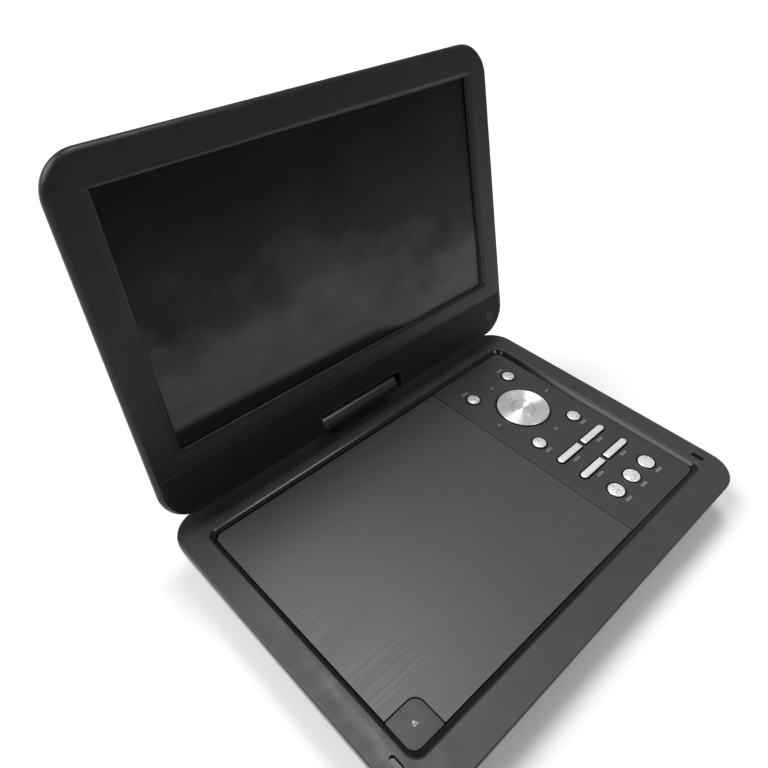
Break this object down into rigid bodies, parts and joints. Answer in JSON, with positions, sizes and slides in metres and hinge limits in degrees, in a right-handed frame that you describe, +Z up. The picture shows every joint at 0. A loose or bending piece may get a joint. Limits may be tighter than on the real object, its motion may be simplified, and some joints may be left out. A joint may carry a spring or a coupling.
{
  "type": "portable dvd player",
  "caption": "Portable DVD player: a flat base with a disc lid and a key panel, and a wide screen on a hinge that tilts and swivels.",
  "frame": {"origin": "on the floor under the middle of the open player", "axes": "+X to the right seen from the front, along the long sides; +Y to the back; +Z up"},
  "size_m": [0.2596, 0.2292, 0.2102],
  "materials": {
    "case_plastic": "dark charcoal moulded plastic, satin, with a fine grain",
    "lid_plastic": "charcoal plastic with fine brushed hairlines from side to side",
    "panel_plastic": "charcoal plastic, satin",
    "bezel_plastic": "black moulded plastic, satin",
    "black_plastic": "black moulded plastic",
    "key_silver": "silver-coated plastic, satin gloss",
    "dial_metal": "silver, spun in fine circles",
    "steel": "bright steel",
    "foot_rubber": "matt black rubber",
    "circuit_board": "green solder resist",
    "battery_wrap": "blue shrink wrap",
    "display": "dark glossy display film",
    "lens": "dark clear plastic"
  },
  "bodies": {
    "base": {"base_top_case": "case_plastic", "base_bottom_case": "case_plastic", "control_panel": "panel_plastic", "disc_deck": "black_plastic", "headphone_jack": "black_plastic", "av_jack": "black_plastic", "dc_jack": "black_plastic", "hinge_bracket": "steel", "spindle_motor": "steel", "guide_rod_left": "steel", "guide_rod_right": "steel", "sled_motor": "steel", "lid_hinge_pin_left": "steel", "lid_hinge_pin_right": "steel", "usb_socket": "steel", "card_socket": "steel", "case_screw_1": "steel", "case_screw_2": "steel", "case_screw_3": "steel", "case_screw_4": "steel", "rubber_foot_1": "foot_rubber", "rubber_foot_2": "foot_rubber", "rubber_foot_3": "foot_rubber", "rubber_foot_4": "foot_rubber", "key_board": "circuit_board", "main_board": "circuit_board", "battery_pack": "battery_wrap"},
    "lid": {"disc_lid": "lid_plastic"},
    "open_button": {"open_button": "lid_plastic"},
    "latch": {"lid_latch": "black_plastic"},
    "spindle": {"spindle_hub": "black_plastic"},
    "lead_screw": {"lead_screw": "steel"},
    "pickup": {"pickup_sled": "black_plastic", "pickup_lens": "lens"},
    "power_switch": {"power_switch": "black_plastic"},
    "volume_wheel": {"volume_wheel": "black_plastic"},
    "swivel": {"hinge_barrel": "bezel_plastic"},
    "screen": {"screen_bezel": "bezel_plastic", "screen_back": "case_plastic", "lcd_panel": "display", "driver_board": "circuit_board", "speaker_left": "black_plastic", "speaker_right": "black_plastic", "ir_window": "lens", "tilt_shaft_left": "steel", "tilt_shaft_right": "steel"},
    "nav_ring": {"nav_ring": "dial_metal"},
    "ok_button": {"ok_button": "dial_metal"},
    "round_key_back_left": {"round_key_back_left": "key_silver"},
    "round_key_back_right": {"round_key_back_right": "key_silver"},
    "round_key_front_left": {"round_key_front_left": "key_silver"},
    "round_key_front_right": {"round_key_front_right": "key_silver"},
    "bar_key_back_left": {"bar_key_back_left": "key_silver"},
    "bar_key_back_right": {"bar_key_back_right": "key_silver"},
    "bar_key_front_left": {"bar_key_front_left": "key_silver"},
    "bar_key_front_right": {"bar_key_front_right": "key_silver"},
    "ring_key_left": {"ring_key_left": "key_silver"},
    "ring_key_middle": {"ring_key_middle": "key_silver"},
    "ring_key_right": {"ring_key_right": "key_silver"}
  },
  "joints": [
    {"name": "screen_swivel", "type": "hinge", "parent": "base", "child": "swivel", "pos_m": [0, 0.0674, 0.028], "axis": [0, 0, 1], "range_deg": [-180, 0]},
    {"name": "screen_tilt", "type": "hinge", "parent": "swivel", "child": "screen", "pos_m": [0, 0.0674, 0.0358], "axis": [-1, 0, 0], "range_deg": [-103.87, 76.13]},
    {"name": "lid_hinge", "type": "hinge", "parent": "base", "child": "lid", "pos_m": [0, 0.0472, 0.0226], "axis": [-1, 0, 0], "range_deg": [0, 65]},
    {"name": "open_button_press", "type": "slide", "parent": "base", "child": "open_button", "axis": [0, 0, -1], "range_m": [0, 0.0012], "stiffness_N_per_m": 400, "springref_m": -0.001},
    {"name": "latch_slide", "type": "slide", "parent": "base", "child": "latch", "axis": [-1, 0, 0], "range_m": [0, 0.0012]},
    {"name": "disc_spin", "type": "hinge", "parent": "base", "child": "spindle", "pos_m": [-0.0325, -0.0198, 0.0174], "axis": [0, 0, 1], "continuous": true},
    {"name": "lead_screw_spin", "type": "hinge", "parent": "base", "child": "lead_screw", "pos_m": [-0.0585, -0.0588, 0.0105], "axis": [0, 1, 0], "range_deg": [0, 5760]},
    {"name": "pickup_slide", "type": "slide", "parent": "base", "child": "pickup", "axis": [0, -1, 0], "range_m": [0, 0.032]},
    {"name": "power_switch_slide", "type": "slide", "parent": "base", "child": "power_switch", "axis": [0, 1, 0], "range_m": [0, 0.003]},
    {"name": "volume_turn", "type": "hinge", "parent": "base", "child": "volume_wheel", "pos_m": [0.1214, -0.0588, 0.0206], "axis": [0, 0, 1], "range_deg": [-140, 140]},
    {"name": "nav_ring_press", "type": "slide", "parent": "base", "child": "nav_ring", "axis": [0, 0, -1], "range_m": [0, 0.0005], "stiffness_N_per_m": 600, "springref_m": -0.0006},
    {"name": "ok_button_press", "type": "slide", "parent": "base", "child": "ok_button", "axis": [0, 0, -1], "range_m": [0, 0.0005], "stiffness_N_per_m": 600, "springref_m": -0.0006},
    {"name": "round_key_back_left_press", "type": "slide", "parent": "base", "child": "round_key_back_left", "axis": [0, 0, -1], "range_m": [0, 0.0005], "stiffness_N_per_m": 600, "springref_m": -0.0006},
    {"name": "round_key_back_right_press", "type": "slide", "parent": "base", "child": "round_key_back_right", "axis": [0, 0, -1], "range_m": [0, 0.0005], "stiffness_N_per_m": 600, "springref_m": -0.0006},
    {"name": "round_key_front_left_press", "type": "slide", "parent": "base", "child": "round_key_front_left", "axis": [0, 0, -1], "range_m": [0, 0.0005], "stiffness_N_per_m": 600, "springref_m": -0.0006},
    {"name": "round_key_front_right_press", "type": "slide", "parent": "base", "child": "round_key_front_right", "axis": [0, 0, -1], "range_m": [0, 0.0005], "stiffness_N_per_m": 600, "springref_m": -0.0006},
    {"name": "bar_key_back_left_press", "type": "slide", "parent": "base", "child": "bar_key_back_left", "axis": [0, 0, -1], "range_m": [0, 0.0005], "stiffness_N_per_m": 600, "springref_m": -0.0006},
    {"name": "bar_key_back_right_press", "type": "slide", "parent": "base", "child": "bar_key_back_right", "axis": [0, 0, -1], "range_m": [0, 0.0005], "stiffness_N_per_m": 600, "springref_m": -0.0006},
    {"name": "bar_key_front_left_press", "type": "slide", "parent": "base", "child": "bar_key_front_left", "axis": [0, 0, -1], "range_m": [0, 0.0005], "stiffness_N_per_m": 600, "springref_m": -0.0006},
    {"name": "bar_key_front_right_press", "type": "slide", "parent": "base", "child": "bar_key_front_right", "axis": [0, 0, -1], "range_m": [0, 0.0005], "stiffness_N_per_m": 600, "springref_m": -0.0006},
    {"name": "ring_key_left_press", "type": "slide", "parent": "base", "child": "ring_key_left", "axis": [0, 0, -1], "range_m": [0, 0.0005], "stiffness_N_per_m": 600, "springref_m": -0.0006},
    {"name": "ring_key_middle_press", "type": "slide", "parent": "base", "child": "ring_key_middle", "axis": [0, 0, -1], "range_m": [0, 0.0005], "stiffness_N_per_m": 600, "springref_m": -0.0006},
    {"name": "ring_key_right_press", "type": "slide", "parent": "base", "child": "ring_key_right", "axis": [0, 0, -1], "range_m": [0, 0.0005], "stiffness_N_per_m": 600, "springref_m": -0.0006}
  ],
  "couplings": [
    {"joint": "lead_screw_spin", "follows": "pickup_slide", "rad_per_m": 3141.5},
    {"joint": "latch_slide", "follows": "open_button_press", "ratio": 1}
  ]
}
